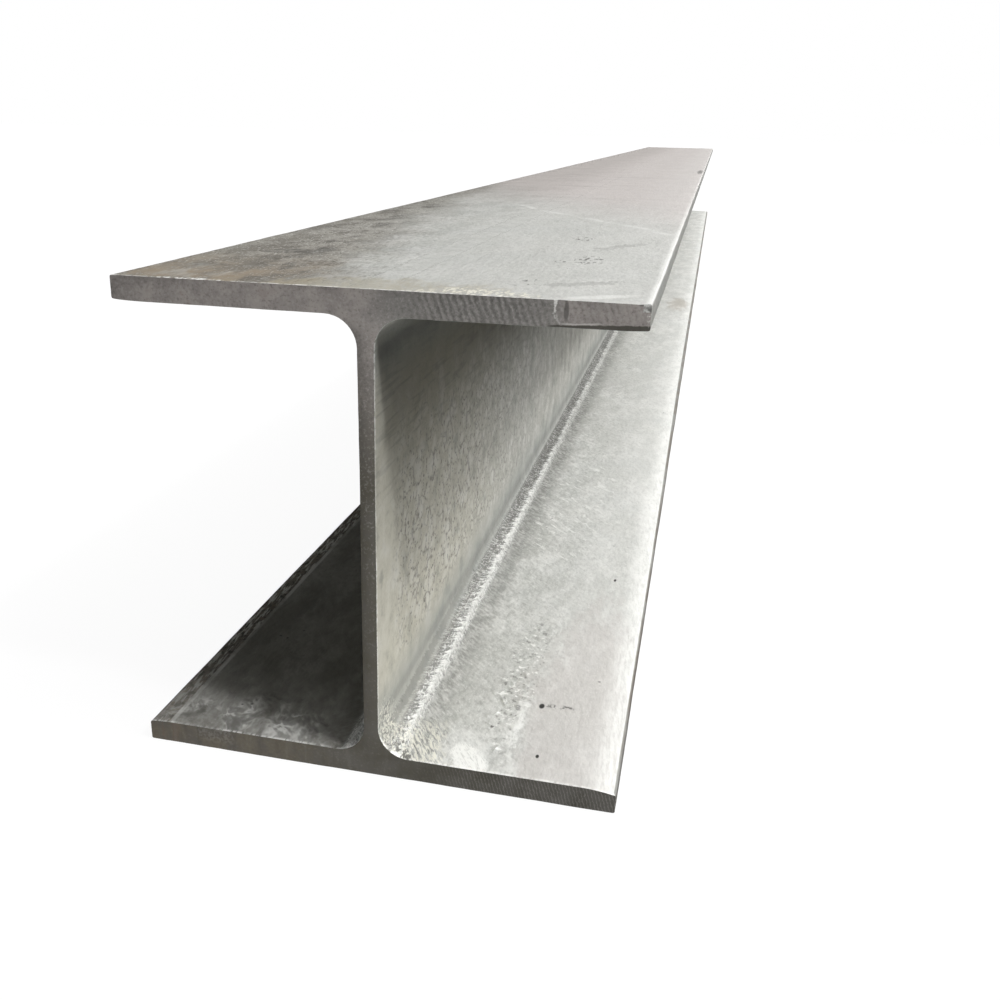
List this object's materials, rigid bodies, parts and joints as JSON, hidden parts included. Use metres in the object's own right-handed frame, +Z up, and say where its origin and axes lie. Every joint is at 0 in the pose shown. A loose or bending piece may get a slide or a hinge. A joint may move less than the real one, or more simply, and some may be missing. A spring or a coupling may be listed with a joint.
{
  "type": "steel i-beam",
  "caption": "Hot-dip galvanised wide-flange steel I-beam with square sawn ends, laid on its lower flange, for use as a girder, column or lintel.",
  "frame": {"origin": "middle of the underside of the lower flange, at half length", "axes": "+Z up through the web's depth, +Y along the length away from the end that the picture shows, +X across the flanges, to the right in the picture"},
  "size_m": [0.3, 4.5, 0.3],
  "materials": {
    "galvanised_steel": "matte zinc, mottled"
  },
  "bodies": {
    "root": {"i_beam": "galvanised_steel"}
  },
  "joints": []
}
